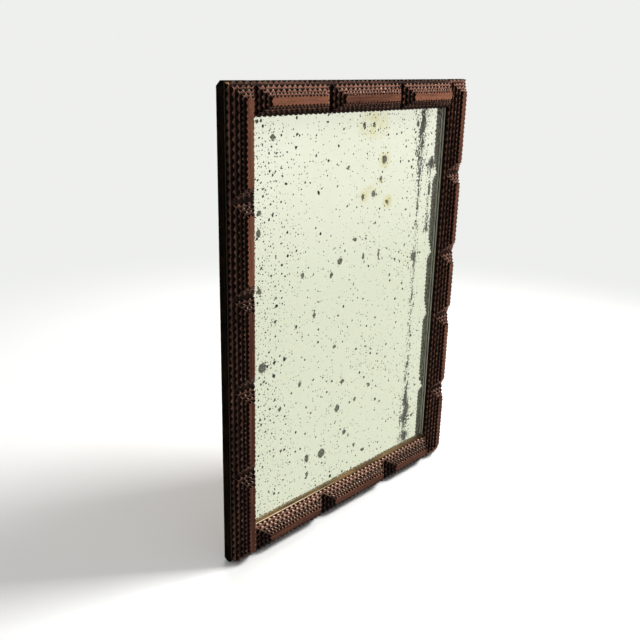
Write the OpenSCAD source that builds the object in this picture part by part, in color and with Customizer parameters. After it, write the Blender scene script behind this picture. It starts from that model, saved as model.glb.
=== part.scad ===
// Wall mirror in a tramp art frame: thin strips of box wood with notch-carved edges, stepped up in
// five layers on base boards, with a mirror glass in the rebate behind them.
// Millimetres. X runs right along the wall, Y runs into the wall and Z runs up.
// The origin is the middle of the top batten's rear face, which lies against the wall.

/* [Frame] */
// Outer width of the frame
frame_w = 457; // [400:1:600]
// Outer height of the frame
frame_h = 610; // [540:1:800]
// Width of a notched member, from its outer edge to its sight edge
member_w = 40; // [38:0.5:50]

/* [Layers] */
// Thickness of one strip of box wood
strip_t = 3.6; // [2.6:0.1:5]
// Set-back of layer 2 from the outer edge of layer 1
outer_step_2 = 4.8; // [3.6:0.1:6]
// Set-back of layer 3 from the outer edge of layer 2
outer_step_3 = 4.4; // [3.4:0.1:5.6]
// Set-back of layer 4 from the outer edge of layer 3
outer_step_4 = 3.8; // [3.2:0.1:5]
// Set-back of layer 5 from the outer edge of layer 4
outer_step_5 = 3.0; // [2.4:0.1:4]
// Set-back of each layer from the one below it, on the side of the mirror
inner_step = 3.0; // [2.6:0.1:3.6]
// Set-back of each layer from the one below it, at the end of a stack
end_step = 4.0; // [3:0.1:5.5]

/* [Stacks] */
// Stacks along one stile
stile_stacks = 5; // [3:1:7]
// Stacks along one rail between the stiles
rail_stacks = 3; // [2:1:5]
// Gap between two neighbouring stacks, at layer 2
valley_gap = 5.2; // [2:0.1:10]
// Gap between the end of a rail's layer 2 and the stile's sight edge
corner_gap = 1.2; // [0.2:0.1:4]
// Length missing at the lower end of the right stile's lowest cap strip
short_cap = 4.0; // [0:0.1:8]
// Shifts of the left stile's valleys from even spacing, from the bottom up
left_shift = [7, 3.5, -2, -9]; // [-18:0.5:18]
// Shifts of the right stile's valleys from even spacing, from the bottom up
right_shift = [3.5, 8, -12.5, -12]; // [-18:0.5:18]
// Shifts of the top rail's valleys from even spacing, from the left
top_shift = [-4, 9.5]; // [-18:0.5:18]
// Shifts of the bottom rail's valleys from even spacing, from the left
bottom_shift = [1, 17]; // [-18:0.5:18]

/* [Notches] */
// Spacing of the notches on the stiles, layers 1 to 3
stile_coarse_pitch = 9.4; // [6:0.1:14]
// Spacing of the notches on the stiles, layers 4 and 5
stile_fine_pitch = 6.5; // [4:0.1:9]
// Spacing of the notches on the rails and the ends of stacks, layers 1 to 3
rail_coarse_pitch = 8.3; // [6:0.1:14]
// Spacing of the notches on the rails and the ends of stacks, layers 4 and 5
rail_fine_pitch = 5.8; // [4:0.1:9]
// Depth of a notch in the outer edge of layers 1 to 3
coarse_depth = 3.4; // [1.5:0.1:3.6]
// Depth of a notch in the outer edge and the ends of layers 4 and 5
fine_depth = 2.4; // [1:0.1:2.8]
// Depth of a notch in the edges on the side of the mirror
sight_depth = 2.5; // [1:0.1:2.8]
// Depth of a notch in the ends of a stack, layers 2 and 3
end_depth = 3.2; // [1:0.1:3.6]

/* [Back] */
// Thickness of the base boards under the layers
base_t = 4.0; // [3:0.1:8]
// Width of the bare lip that the base boards show beside layer 1
lip_reveal = 1.0; // [0.4:0.1:4]
// Overlap of layer 1 over the top base board, which shows no lip
top_tuck = 2.5; // [1:0.1:5]
// Thickness of the back battens
batten_t = 10.4; // [8:0.1:20]
// Set-back of the top and bottom battens from the edge of the frame
batten_inset = 6.5; // [0:0.1:12]
// Height of the bevel at the upper end of a side batten
top_bevel = 6.5; // [1:0.1:12]
// Height of the bevel at the lower end of a side batten
bottom_bevel = 3.0; // [1:0.1:12]
// Depth of the bevels, from the wall forward
bevel_depth = 7.5; // [2:0.1:7.5]
// Width of the rebate that holds the glass behind the lip
rebate_w = 8.0; // [5:0.1:12]
// Thickness of the mirror glass
glass_t = 2.2; // [1.8:0.1:4]
// Room around the glass and the backboard in the rebate
glass_room = 1.0; // [0.5:0.1:2]
// Thickness of the backboard
board_t = 2.6; // [2:0.1:4]

/* [Fastenings] */
// Diameter of the brads in the stacks
brad_d = 1.4; // [1:0.1:2]
// Diameter of a brad's head, let into layer 4 under the cap strip
brad_head_d = 2.8; // [2.2:0.1:4]
// Thickness of a brad's head
brad_head_t = 0.7; // [0.4:0.1:1.2]
// Distance of a brad from the end of layer 4
brad_end = 18; // [10:0.5:24]
// Wood left behind a brad's point
point_cover = 1.0; // [0.5:0.1:2.5]
// Diameter of the nails in the battens
nail_d = 1.8; // [1.2:0.1:2.4]
// Diameter of a nail's head
nail_head_d = 4.0; // [3:0.1:5]
// Thickness of a nail's head
nail_head_t = 0.8; // [0.5:0.1:1.2]
// Depth of a nail's head below the rear face
nail_sink = 0.4; // [0.1:0.1:1]
// Distance of the nails from the outer edge of the frame
nail_edge = 13; // [11:0.5:15]
// Distance of the end nails from the ends of a batten
nail_end = 25; // [15:1:40]
// Nails in a side batten
side_nails = 5; // [2:1:8]
// Nails in a top or bottom batten
rail_nails = 3; // [2:1:6]
// Diameter of the sprigs behind the backboard
sprig_d = 1.2; // [0.8:0.1:1.8]
// Length of a sprig inside its batten
sprig_hold = 9; // [5:0.5:14]
// Length of a sprig over the backboard
sprig_reach = 8; // [4:0.5:12]
// Sprigs along one stile
side_sprigs = 4; // [2:1:7]
// Sprigs along one rail
rail_sprigs = 3; // [2:1:5]
// Room around a brad, nail or sprig in its hole
hole_room = 0.05; // [0.02:0.01:0.1]

/* [Screw eyes] */
// Height of the screw eyes below the top of the frame
eye_drop = 165; // [100:1:240]
// Diameter of the wire of a screw eye
eye_wire_d = 1.8; // [1.4:0.1:2.4]
// Inside diameter of a screw eye
eye_bore_d = 6.0; // [4:0.1:9]
// Diameter of the shank of a screw eye
shank_d = 2.2; // [1.9:0.1:2.8]
// Length of the shank inside its batten
shank_hold = 13; // [8:0.5:18]
// Length of the bare shank between the batten and the eye
shank_show = 1.5; // [0.5:0.1:4]

/* [Hidden] */
SIDES = ["left", "right", "top", "bottom"];
dark_wood = "#4a332b";
cap_wood = "#7b4a37";
side_wood = "#241a17";
bare_wood = "#8a7340";
pine = "#7d6446";
silvered = "#dfe3d2";
iron = "#4b4744";
brass = "#9b7a3a";

// Layers that differ from the rest: the brads' heads lie in one, notches turn fine, caps end the stacks
brad_layer = 4;
fine_layer = 4;
cap_layer = 5;

// Depths along Y, from the wall at 0 forward
base_back = -batten_t;
base_front = base_back - base_t;
board_back = base_back + glass_t + board_t;
recess = -board_back;

// Places across a member, from its outer edge
layer_set_back = [0, outer_step_2, outer_step_2 + outer_step_3,
    outer_step_2 + outer_step_3 + outer_step_4,
    outer_step_2 + outer_step_3 + outer_step_4 + outer_step_5];
lip_edge = member_w + lip_reveal;
batten_edge = lip_edge - rebate_w;
brad_line = (near_edge(brad_layer) + far_edge(brad_layer)) / 2;

// Outer corners of the frame: the top batten's middle is at Z = 0
frame_top = (batten_inset + batten_edge) / 2;
frame_bottom = frame_top - frame_h;
frame_right = frame_w / 2;
eye_spread = frame_right - batten_edge - shank_show - eye_bore_d / 2 - eye_wire_d;
eye_height = frame_top - eye_drop;

// Smallest amount by which a cutting shape passes the face that it opens
over = 1;
// Share of the wire's radius that the eye's bore wears flat on the inside
worn_share = 0.05;

function is_stile(side) = side == "left" || side == "right";
function stack_count(side) = is_stile(side) ? stile_stacks : rail_stacks;
function near_edge(layer) = layer_set_back[layer - 1];
function far_edge(layer) = member_w - inner_step * (layer - 1);
function layer_back(layer) = base_front - strip_t * (layer - 1);
function layer_front(layer) = layer_back(layer) - strip_t;

function end_pitch(layer) = layer < fine_layer ? rail_coarse_pitch : rail_fine_pitch;
function pitch(side, layer) =
    !is_stile(side) ? end_pitch(layer) :
    layer < fine_layer ? stile_coarse_pitch : stile_fine_pitch;
function outer_depth(layer) = layer < fine_layer ? coarse_depth : fine_depth;
function end_cut(layer) = layer < fine_layer ? end_depth : fine_depth;

// A member's run: the stretch along it that its stacks share
function run_start(side) = is_stile(side) ? frame_bottom : member_w - frame_right;
function run_end(side) = is_stile(side) ? frame_top : frame_right - member_w;
function run_length(side) = run_end(side) - run_start(side);
function shifts(side) =
    side == "left" ? left_shift :
    side == "right" ? right_shift :
    side == "top" ? top_shift : bottom_shift;
function shift_at(list, i) = i < len(list) ? list[i] : 0;
function valley(side, i) =
    run_start(side) + run_length(side) * i / stack_count(side) + shift_at(shifts(side), i - 1);

// Set-back of a layer at a valley, and at the ends of a run: a stile keeps its outer steps there
function valley_set_back(layer) = valley_gap / 2 + end_step * (layer - 2);
function run_set_back(side, layer) =
    is_stile(side) ? near_edge(layer) : corner_gap + end_step * (layer - 2);
function missing(side, i, layer) = side == "right" && i == 1 && layer == cap_layer ? short_cap : 0;
function strip_start(side, i, layer) =
    i == 1 ? run_start(side) + run_set_back(side, layer) + missing(side, i, layer)
           : valley(side, i - 1) + valley_set_back(layer);
function strip_end(side, i, layer) =
    i == stack_count(side) ? run_end(side) - run_set_back(side, layer)
                           : valley(side, i) - valley_set_back(layer);

// A point at a distance along a member and across it from the frame's outer edge, as [x, z]
function at(side, along, across) =
    side == "left" ? [across - frame_right, along] :
    side == "right" ? [frame_right - across, along] :
    side == "top" ? [along, frame_top - across] : [along, frame_bottom + across];

// Points of a notched edge from a to b, with the notches cut to the side of the point inside
function notched_edge(a, b, inside, depth, spacing) = let (
    run = b - a,
    turned = [-run[1], run[0]] / norm(run),
    cut = turned * (turned * (inside - a) > 0 ? depth : -depth),
    teeth = max(1, round(norm(run) / spacing)))
    [for (i = [0 : teeth - 1], half = [0, 0.5]) a + run * (i + half) / teeth + (half > 0 ? cut : [0, 0])];

// Outline of a strip of a stack, notched on its outer edge, its sight edge and both ends
function strip_outline(side, i, layer) = let (
    low = strip_start(side, i, layer),
    high = strip_end(side, i, layer),
    a = at(side, low, near_edge(layer)),
    b = at(side, high, near_edge(layer)),
    c = at(side, high, far_edge(layer)),
    d = at(side, low, far_edge(layer)),
    middle = (a + c) / 2,
    step = pitch(side, layer))
    concat(
        notched_edge(a, b, middle, outer_depth(layer), step),
        notched_edge(b, c, middle, end_cut(layer), end_pitch(layer)),
        notched_edge(c, d, middle, sight_depth, step),
        notched_edge(d, a, middle, end_cut(layer), end_pitch(layer)));

// Outline of a ground strip: a stile's runs the full height, a rail's fits between the stiles
function ground_outline(side) = let (
    low = run_start(side),
    high = run_end(side),
    sight_low = is_stile(side) ? low + member_w : low,
    sight_high = is_stile(side) ? high - member_w : high,
    a = at(side, low, 0),
    b = at(side, high, 0),
    c = at(side, high, member_w),
    d = at(side, low, member_w),
    sight_a = at(side, sight_low, member_w),
    sight_b = at(side, sight_high, member_w),
    middle = (a + c) / 2,
    step = pitch(side, 1))
    concat(
        notched_edge(a, b, middle, coarse_depth, step),
        is_stile(side) ? notched_edge(b, c, middle, coarse_depth, step) : [b],
        [c],
        notched_edge(sight_b, sight_a, middle, sight_depth, step),
        [sight_a],
        is_stile(side) ? notched_edge(d, a, middle, coarse_depth, step) : [d]);

// Inner edge of a base board, from the frame's outer edge
function lip_at(side) = side == "top" ? member_w - top_tuck : lip_edge;

// Long section of a side batten, as [y, z]: its ends are bevelled towards the wall
function stile_section() = [
    [0, frame_bottom + bottom_bevel], [0, frame_top - top_bevel],
    [-bevel_depth, frame_top], [-batten_t, frame_top],
    [-batten_t, frame_bottom], [-bevel_depth, frame_bottom]];

// Rectangle of a plain board along a member, as [x, z] corners
function plain_outline(side, low, high, near, far) =
    [at(side, low, near), at(side, high, near), at(side, high, far), at(side, low, far)];

// Places of the fastenings, as [x, z]
function brad_sites(side) = [
    for (i = [1 : stack_count(side)])
        each [at(side, strip_start(side, i, brad_layer) + brad_end, brad_line),
              at(side, strip_end(side, i, brad_layer) - brad_end, brad_line)]];
function batten_start(side) = is_stile(side) ? frame_bottom : batten_edge - frame_right;
function batten_end(side) = is_stile(side) ? frame_top : frame_right - batten_edge;
function spread(low, high, count) = [for (i = [0 : count - 1]) low + (high - low) * i / (count - 1)];
function nail_sites(side) = [
    for (along = spread(batten_start(side) + nail_end, batten_end(side) - nail_end,
                        is_stile(side) ? side_nails : rail_nails))
        at(side, along, nail_edge)];
function sprig_sites(side) = let (
    low = is_stile(side) ? frame_bottom + batten_edge : batten_edge - frame_right,
    high = is_stile(side) ? frame_top - batten_edge : frame_right - batten_edge,
    count = is_stile(side) ? side_sprigs : rail_sprigs)
    [for (i = [1 : count]) low + (high - low) * (i - 0.5) / count];

function ground_name(side) = str(side, "_ground_strip");
function base_name(side) = str(side, "_base_board");
function batten_name(side) = str(side, "_batten");
function second_name(side) = str(side, "_second_strips");
function third_name(side) = str(side, "_third_strips");
function fourth_name(side, i) = str(side, "_fourth_strip_", i);
function cap_name(side, i) = str(side, "_cap_strip_", i);
function eye_name(side) = str(side, "_screw_eye");

$fn = 48;

// A flat piece whose rear face is at y_back and whose outline lies in the XZ plane
module slab(outline, y_back, thickness)
    translate([0, y_back, 0]) rotate([90, 0, 0]) linear_extrude(thickness) polygon(outline);

// A round bar along Y, from y_back forward to y_front
module bar(site, y_back, y_front, diameter)
    translate([site[0], y_back, site[1]]) rotate([90, 0, 0]) cylinder(h = y_back - y_front, d = diameter);

// Brad: its head is flush with layer 4, under the cap strip, and its point ends in the base board
module brad(site, room = 0) {
    face = layer_front(brad_layer);
    head_top = room > 0 ? face - over : face;
    bar(site, face + brad_head_t, head_top, brad_head_d + 2 * room);
    bar(site, base_back - point_cover, face + brad_head_t, brad_d + 2 * room);
}

// Nail: its head is sunk below the batten's rear face and its point ends in the base board
module nail(site) {
    bar(site, -nail_sink, -nail_sink - nail_head_t, nail_head_d);
    bar(site, -nail_sink - nail_head_t, base_front + point_cover, nail_d);
}

module nail_hole(site) {
    bar(site, over, -nail_sink - nail_head_t, nail_head_d + 2 * hole_room);
    bar(site, -nail_sink - nail_head_t, base_front + point_cover, nail_d + 2 * hole_room);
}

// Sprig: a headless wire that lies on the backboard, with its other end in the batten
module sprig(side, along, room = 0) {
    hold = at(side, along, batten_edge - sprig_hold - room);
    reach = at(side, along, batten_edge + sprig_reach);
    translate([hold[0], board_back + sprig_d / 2, hold[1]])
        rotate(is_stile(side) ? [0, side == "left" ? 90 : -90, 0] : [side == "top" ? 180 : 0, 0, 0])
            cylinder(h = norm(reach - hold), d = sprig_d + 2 * room);
}

// Hole for a screw eye's shank, from the batten's inner edge
module shank_hole(side) {
    sign = side == "left" ? -1 : 1;
    bottom = frame_right - batten_edge + shank_hold + hole_room;
    translate([sign * bottom, -recess / 2, eye_height]) rotate([0, -sign * 90, 0])
        cylinder(h = shank_hold + over, d = shank_d + 2 * hole_room);
}

module base_board(side) color(bare_wood)
    difference() {
        slab(plain_outline(side,
                is_stile(side) ? frame_bottom + lip_at("bottom") : -frame_right,
                is_stile(side) ? frame_top - lip_at("top") : frame_right,
                0, lip_at(side)), base_back, base_t);
        for (edge = SIDES, site = brad_sites(edge)) brad(site, hole_room);
        for (edge = SIDES, site = nail_sites(edge)) nail_hole(site);
    }

// A batten before its holes are bored
module batten_bar(side) {
    if (is_stile(side))
        translate([side == "left" ? -frame_right : frame_right - batten_edge, 0, 0])
            rotate([90, 0, 90]) linear_extrude(batten_edge) polygon(stile_section());
    else
        slab(plain_outline(side, batten_start(side), batten_end(side),
                batten_inset, batten_edge), 0, batten_t);
}

module batten(side) color(side_wood)
    difference() {
        batten_bar(side);
        for (site = nail_sites(side)) nail_hole(site);
        for (along = sprig_sites(side)) sprig(side, along, hole_room);
        if (is_stile(side)) shank_hole(side);
    }

module ground_strip(side) color(dark_wood)
    difference() {
        slab(ground_outline(side), layer_back(1), strip_t);
        for (site = brad_sites(side)) brad(site, hole_room);
    }

// One strip of a stack, bored for the two brads of its stack
module stack_strip(side, i, layer)
    difference() {
        slab(strip_outline(side, i, layer), layer_back(layer), strip_t);
        for (k = [2 * i - 2, 2 * i - 1]) brad(brad_sites(side)[k], hole_room);
    }

module second_strips(side) color(dark_wood)
    for (i = [1 : stack_count(side)]) stack_strip(side, i, 2);

module third_strips(side) color(dark_wood)
    for (i = [1 : stack_count(side)]) stack_strip(side, i, 3);

module fourth_strip(side, i) color(dark_wood) stack_strip(side, i, 4);

module cap_strip(side, i) color(cap_wood)
    slab(strip_outline(side, i, cap_layer), layer_back(cap_layer), strip_t);

// Rectangle that fills the rebate, with its room all round
module rebate_sheet(y_back, thickness) {
    half_w = frame_right - batten_edge - glass_room;
    low = frame_bottom + batten_edge + glass_room;
    high = frame_top - batten_edge - glass_room;
    slab([[-half_w, low], [half_w, low], [half_w, high], [-half_w, high]], y_back, thickness);
}

module mirror_glass() color(silvered) rebate_sheet(base_back + glass_t, glass_t);

module backboard() color(pine) rebate_sheet(board_back, board_t);

module stack_brads() color(iron)
    for (side = SIDES, site = brad_sites(side)) brad(site);

module batten_nails() color(iron)
    for (side = SIDES, site = nail_sites(side)) nail(site);

module backboard_sprigs() color(iron)
    for (side = SIDES, along = sprig_sites(side)) sprig(side, along);

// Screw eye: a wire ring parallel to the wall, on a shank that is screwed into the batten's inner edge
module screw_eye(side) color(brass) {
    sign = side == "left" ? -1 : 1;
    ring_r = eye_bore_d / 2 + eye_wire_d / 2 * (1 - worn_share);
    translate([sign * eye_spread, -recess / 2, eye_height]) difference() {
        union() {
            rotate([90, 0, 0]) rotate_extrude() translate([ring_r, 0]) circle(d = eye_wire_d);
            translate([sign * ring_r, 0, 0]) rotate([0, sign * 90, 0])
                cylinder(h = frame_right - batten_edge + shank_hold - eye_spread - ring_r, d = shank_d);
        }
        rotate([90, 0, 0]) cylinder(h = 2 * eye_wire_d, d = eye_bore_d, center = true);
    }
}

for (side = SIDES) {
    base_board(side);
    batten(side);
    ground_strip(side);
    second_strips(side);
    third_strips(side);
    for (i = [1 : stack_count(side)]) {
        fourth_strip(side, i);
        cap_strip(side, i);
    }
}
mirror_glass();
backboard();
stack_brads();
batten_nails();
backboard_sprigs();
for (side = ["left", "right"])
    screw_eye(side);
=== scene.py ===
# %% [markdown]
# # An old mirror in a tramp art frame
# Tramp art is whittled from the thin wood of cigar boxes. Each strip has its edges notched with a
# knife, and smaller strips are glued and nailed on larger ones, so that the frame climbs in steps.
# The packed CAD model gives every piece its place and size. This lesson gives the pieces their looks:
# hand-cut notches, worn and grimy wood, and a glass whose silver has gone spotty.

# %% The packed frame
import math
from functools import reduce

import bmesh
import bpy
from mathutils import Matrix, Vector


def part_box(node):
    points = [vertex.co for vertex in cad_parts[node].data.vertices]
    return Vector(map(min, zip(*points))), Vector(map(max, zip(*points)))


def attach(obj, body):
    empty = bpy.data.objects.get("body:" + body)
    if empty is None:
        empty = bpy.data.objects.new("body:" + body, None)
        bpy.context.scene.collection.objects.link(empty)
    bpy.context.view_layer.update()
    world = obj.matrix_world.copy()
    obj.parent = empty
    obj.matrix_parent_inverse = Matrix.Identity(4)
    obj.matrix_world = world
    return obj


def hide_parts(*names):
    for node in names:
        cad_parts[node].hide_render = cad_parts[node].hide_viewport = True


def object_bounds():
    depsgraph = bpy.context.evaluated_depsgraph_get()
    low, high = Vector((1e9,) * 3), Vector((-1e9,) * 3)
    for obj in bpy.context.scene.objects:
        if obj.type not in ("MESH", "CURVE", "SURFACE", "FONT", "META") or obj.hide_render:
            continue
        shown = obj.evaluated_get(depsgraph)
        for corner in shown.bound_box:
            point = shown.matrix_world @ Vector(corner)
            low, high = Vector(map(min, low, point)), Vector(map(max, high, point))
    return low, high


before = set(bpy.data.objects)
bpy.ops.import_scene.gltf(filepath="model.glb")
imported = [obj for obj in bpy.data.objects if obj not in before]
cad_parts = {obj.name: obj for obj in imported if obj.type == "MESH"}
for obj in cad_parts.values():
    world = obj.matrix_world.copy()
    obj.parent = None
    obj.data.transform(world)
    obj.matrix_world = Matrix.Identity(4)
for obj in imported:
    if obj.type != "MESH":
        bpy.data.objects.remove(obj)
cad_low, cad_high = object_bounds()
MM = 0.001
print("CAD box in mm:", [round(v / MM, 1) for v in (*cad_low, *cad_high)])

# %% [markdown]
# ## Camera
# The photograph was taken from the left and a little above the frame. The camera's place, its turn and
# its lens were fitted to the straight edges of the layers, so the render can be laid over the photograph.
# A lens could also be guessed and the camera moved until it looks right, but a fit needs no trial.

# %% Camera
PICTURE_PX = 640
FOCUS_PX = 780.7
SENSOR_MM = 36.0
CAMERA_PLACE = (-0.7893, -0.6915, 0.0466)
CAMERA_TURN_DEG = (71.333, -1.325, -46.305)

lens = bpy.data.cameras.new("photo_camera")
lens.sensor_width = SENSOR_MM
lens.lens = SENSOR_MM * FOCUS_PX / PICTURE_PX
camera = bpy.data.objects.new("photo_camera", lens)
camera.location = CAMERA_PLACE
camera.rotation_euler = [math.radians(a) for a in CAMERA_TURN_DEG]
bpy.context.scene.collection.objects.link(camera)
bpy.context.scene.camera = camera
print("camera lens in mm:", round(lens.lens, 2))

# %% [markdown]
# ## Node trees as arithmetic
# The carving and the finishes below are node trees. A tree can be written as a list of nodes and links,
# but its sums are then hard to see. Here a Wire stands for one output of a node, and adding or
# multiplying wires puts the matching Math node into the tree.


# %% Wires and nodes
class Wire:
    """One output of a node. Arithmetic on it adds Math nodes to the same tree."""

    def __init__(self, socket):
        self.socket = socket
        self.tree = socket.id_data

    def math(self, operation, *others):
        return out(add(self.tree, "ShaderNodeMath", {"operation": operation}, (self, *others)))

    def vector(self, operation, *others):
        return out(add(self.tree, "ShaderNodeVectorMath", {"operation": operation}, (self, *others)))

    def scaled(self, factor):
        node = add(self.tree, "ShaderNodeVectorMath", {"operation": "SCALE"}, (self,), Scale=factor)
        return out(node)

    def __add__(self, other):
        return self.math("ADD", other)

    def __sub__(self, other):
        return self.math("SUBTRACT", other)

    def __mul__(self, other):
        return self.math("MULTIPLY", other)

    def __truediv__(self, other):
        return self.math("DIVIDE", other)

    def __rtruediv__(self, other):
        return out(add(self.tree, "ShaderNodeMath", {"operation": "DIVIDE"}, (other, self)))

    def __rsub__(self, other):
        return self * -1 + other

    __radd__ = __add__
    __rmul__ = __mul__

    def floor(self):
        return self.math("FLOOR")

    def size(self):
        return self.math("ABSOLUTE")

    def least(self, other):
        return self.math("MINIMUM", other)

    def most(self, other):
        return self.math("MAXIMUM", other)

    def under(self, limit):
        return self.math("LESS_THAN", limit)

    def over(self, limit):
        return self.math("GREATER_THAN", limit)

    def step(self, low, high):
        """A smooth step from 0 at low to 1 at high."""
        node = add(self.tree, "ShaderNodeMapRange", {"interpolation_type": "SMOOTHSTEP"},
                   Value=self, From_Min=low, From_Max=high)
        return out(node)


print("a wire knows", len([name for name in vars(Wire) if not name.startswith("__")]), "operations by name")


# %% Nodes and groups
def live(sockets, name):
    """The socket of that name that the node's settings leave in use."""
    return next(s for s in sockets if s.enabled and (name is None or s.name == name))


def plug(value, socket):
    """Feeds a socket from a wire, or sets the socket's own value."""
    if isinstance(value, Wire):
        socket.id_data.links.new(value.socket, socket)
    else:
        socket.default_value = value


def add(tree, kind, settings=None, values=(), **sockets):
    """Adds a node with these settings, and feeds its inputs in order or by name."""
    node = tree.nodes.new(kind)
    for name, value in (settings or {}).items():
        setattr(node, name, value)
    for socket, value in zip(node.inputs, values):
        plug(value, socket)
    for name, value in sockets.items():
        plug(value, live(node.inputs, name.replace("_", " ")))
    return node


def out(node, name=None):
    return Wire(live(node.outputs, name))


def parts_of(vector):
    """Wires for the x, y and z of a vector."""
    node = add(vector.tree, "ShaderNodeSeparateXYZ", values=(vector,))
    return [out(node, axis) for axis in "XYZ"]


def new_group(name, kind, inputs, outputs):
    """An empty node group: returns it, wires for its inputs and its output node."""
    tree = bpy.data.node_groups.new(name, kind)
    for direction, sockets in (("INPUT", inputs), ("OUTPUT", outputs)):
        for label, socket_type in sockets:
            tree.interface.new_socket(label, in_out=direction, socket_type="NodeSocket" + socket_type)
    entry = tree.nodes.new("NodeGroupInput")
    given = {label: Wire(entry.outputs[label]) for label, _ in inputs}
    return tree, given, tree.nodes.new("NodeGroupOutput")


print("a step makes nodes such as ShaderNodeMapRange, and + makes ShaderNodeMath")

# %% [markdown]
# ## Colours
# Colours are read off the photograph as 0 to 255 screen values. Shaders work in linear light, so a
# small function turns one into the other. The screen values stay in the script, because they can be
# compared with the photograph.


# %% Colours
def screen(red, green, blue):
    """A screen colour, 0 to 255, as the linear colour that a shader wants."""
    def linear(value):
        share = value / 255
        return share / 12.92 if share <= 0.04045 else ((share + 0.055) / 1.055) ** 2.4
    return (linear(red), linear(green), linear(blue), 1.0)


def mixed(factor, first, second):
    """The first colour where the factor is 0 and the second where it is 1."""
    node = add(factor.tree, "ShaderNodeMix", {"data_type": "RGBA"}, Factor=factor, A=first, B=second)
    return out(node, "Result")


def noise(place, scale, detail=2.0, name="Fac"):
    """Soft noise with about that many lumps in a metre, from 0 to 1."""
    return out(add(place.tree, "ShaderNodeTexNoise", Vector=place, Scale=scale, Detail=detail), name)


def wobble(place, scale, detail):
    """A soft random push, from -0.5 to 0.5 in each direction."""
    return noise(place, scale, detail, "Color").vector("SUBTRACT", (0.5, 0.5, 0.5))


def scattered(place, scale):
    """Scattered cells: the distance to the middle of the nearest one, and two random values of its own."""
    cells = add(place.tree, "ShaderNodeTexVoronoi", {"voronoi_dimensions": "2D"}, Vector=place, Scale=scale)
    luck = add(place.tree, "ShaderNodeSeparateColor", Color=out(cells, "Color"))
    return out(cells, "Distance"), out(luck, "Red"), out(luck, "Green")


print("cap strip colour as linear light:", [round(v, 3) for v in screen(123, 74, 55)])

# %% [markdown]
# ## What all the wood shares
# Every wooden piece has a grain that runs along it, edges that hands have rubbed pale, and dirt that
# has settled in the corners, where painted shade darkens it further. These three effects are node
# groups, built once and placed in each wood with its own colours. They read values that the pieces
# carry from point to point: how far along the grain a point lies, whether it is on the tip of a tooth,
# and how far it is from the layer below.


# %% Grain of the wood
def grain_group():
    tree, given, end = new_group("Box wood grain", "ShaderNodeTree", [("Grain", "Vector")],
                                 [("Figure", "Float"), ("Fibre", "Float"), ("Pores", "Float")])
    grain = given["Grain"]
    bands = noise(grain.vector("MULTIPLY", (9, 420, 420)), 1, 3)
    fibre = noise(grain.vector("MULTIPLY", (60, 1500, 1500)), 1, 3)
    pores = noise(grain.vector("MULTIPLY", (150, 2600, 2600)), 1, 1)
    plug(bands.step(0.32, 0.68), end.inputs["Figure"])
    plug(fibre, end.inputs["Fibre"])
    plug(pores.step(0.58, 0.68), end.inputs["Pores"])
    return tree


GRAIN = grain_group()
print(GRAIN.name, "has", len(GRAIN.nodes), "nodes")


# %% Edges rubbed by handling
def handling_group():
    tree, given, end = new_group(
        "Handled edges", "ShaderNodeTree",
        [("Tip", "Float"), ("Edge", "Float"), ("Height", "Float"), ("Raw", "Float"), ("Grain", "Vector")],
        [("Rubbed", "Float"), ("Fresh", "Float")])
    patches = noise(given["Grain"], 60, 2)
    specks = noise(given["Grain"], 700, 2)
    tip = given["Tip"] * given["Height"].step(0.45, 1.0) + (patches - 0.5) * 0.9
    arris = given["Edge"] * given["Height"] + (specks - 0.5) * 0.6
    rubbed = tip.step(0.5, 1.05).most(arris.step(0.8, 1.2) * 0.5) * (specks.step(0.3, 0.6) * 0.5 + 0.5)
    plug(rubbed, end.inputs["Rubbed"])
    plug((given["Raw"] + (specks - 0.5) * 0.4).step(0.4, 0.7), end.inputs["Fresh"])
    return tree


HANDLING = handling_group()
print(HANDLING.name, "has", len(HANDLING.nodes), "nodes")


# %% Dirt and painted shade in the corners
def dirt_and_shade_group():
    tree, given, end = new_group(
        "Settled dirt", "ShaderNodeTree",
        [("Height", "Float"), ("Foot", "Float"), ("Grain", "Vector")], [("Dirt and shade", "Float")])
    clouds = noise(given["Grain"], 90, 3)
    # Partly dirt and partly painted shade: the cut sides darken from the front face back, as the shade that
    # fills the notches, and each ledge darkens near the foot of the layer above, as the shadow that layer
    # casts.
    deep = (1 - given["Height"]).step(0.0, 0.5)
    corner = given["Foot"].step(0.7, 1.05) * 0.92
    plug(deep.most(corner) * (clouds.step(0.2, 0.7) * 0.25 + 0.75), end.inputs["Dirt and shade"])
    return tree


DIRT_AND_SHADE = dirt_and_shade_group()
print(DIRT_AND_SHADE.name, "has", len(DIRT_AND_SHADE.nodes), "nodes")


# %% [markdown]
# ## The stained strips and the red caps
# The lower strips are stained dark, with a paler brown on the faces that see the light. Their cut sides
# are painted nearly black, partly as dirt and partly as the shade in the notches. The cap strips are the
# same wood with less stain, and look reddish. One function makes both, because only their colours
# differ. The colours could be painted by hand, but values that ride on the carving keep the wear on
# every tooth tip.

# %% Wood materials
def attribute(tree, name, socket="Fac"):
    """A value that a piece carries from point to point."""
    return out(add(tree, "ShaderNodeAttribute", {"attribute_name": name}), socket)


def new_material(name):
    """An empty material: returns it, its tree and its Principled shader."""
    material = bpy.data.materials.new(name)
    material.use_nodes = True
    tree = material.node_tree
    return material, tree, tree.nodes["Principled BSDF"]


def use_group(tree, group, **sockets):
    return add(tree, "ShaderNodeGroup", {"node_tree": group}, **sockets)


def bumped(height, strength, depth):
    """A normal that shows small heights, in metres for the whole range of the value."""
    return out(add(height.tree, "ShaderNodeBump", Strength=strength, Distance=depth, Height=height))


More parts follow.
